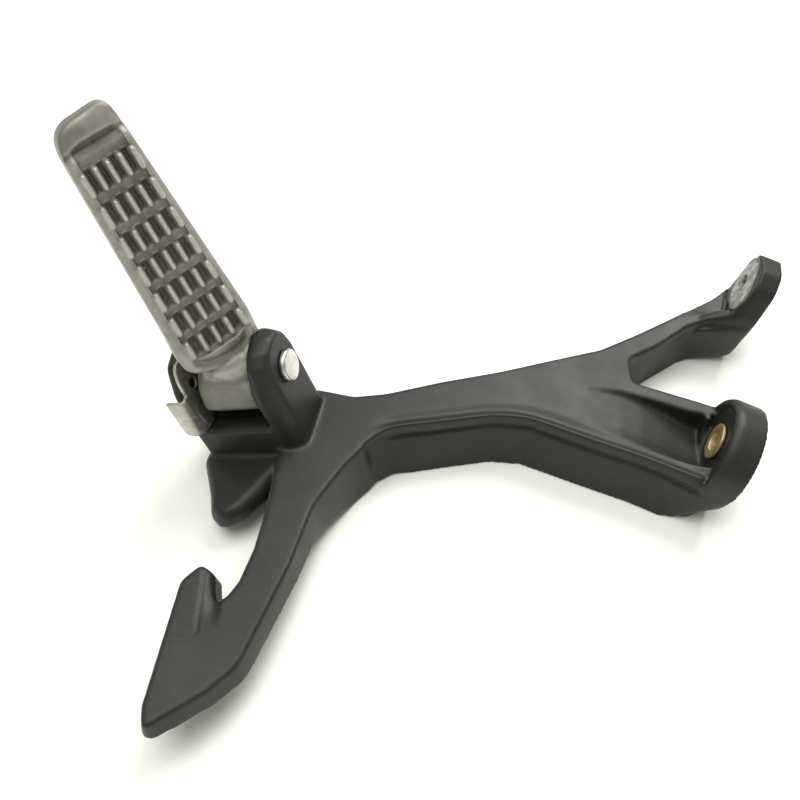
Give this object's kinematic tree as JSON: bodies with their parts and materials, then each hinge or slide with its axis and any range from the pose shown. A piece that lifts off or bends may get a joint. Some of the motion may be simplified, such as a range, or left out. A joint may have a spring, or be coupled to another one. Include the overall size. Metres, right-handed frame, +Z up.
{
  "type": "motorcycle passenger footrest bracket",
  "caption": "Forked cast bracket that bolts to a motorcycle frame and carries a folding ribbed passenger footrest in a clevis, with a luggage hook arm.",
  "frame": {"origin": "middle of the bounding box in plan, on the table the bracket lies on", "axes": "+X from the clevis to the two bolting feet, +Y to the side of the upper foot, away from the luggage hook, +Z up off the table"},
  "size_m": [0.2813, 0.276, 0.1726],
  "materials": {
    "black_paint": "cast aluminium painted satin black",
    "bare_casting": "bare cast, worn bright on the ribs and tip",
    "bright_steel": "bright plated",
    "dull_steel": "dull zinc",
    "spring_steel": "oiled dark steel",
    "yellow_zinc": "yellow zinc, weathered"
  },
  "bodies": {
    "bracket": {"bracket_casting": "black_paint", "hinge_pin": "bright_steel", "pin_washer": "bright_steel", "retaining_clip": "spring_steel", "detent_plate": "dull_steel", "lower_mount_collar": "yellow_zinc"},
    "footrest": {"footpeg_casting": "bare_casting", "detent_spring": "spring_steel"},
    "ball": {"detent_ball": "bright_steel"}
  },
  "joints": [
    {"name": "footrest_fold", "type": "hinge", "parent": "bracket", "child": "footrest", "pos_m": [-0.09787, 0.00345, 0.054], "axis": [0.9548, 0, 0.2974], "range_deg": [0, 90]},
    {"name": "detent_ball_travel", "type": "slide", "parent": "footrest", "child": "ball", "axis": [0.9548, 0, 0.2974], "range_m": [-0.0007, 0.0006], "stiffness_N_per_m": 4000}
  ]
}
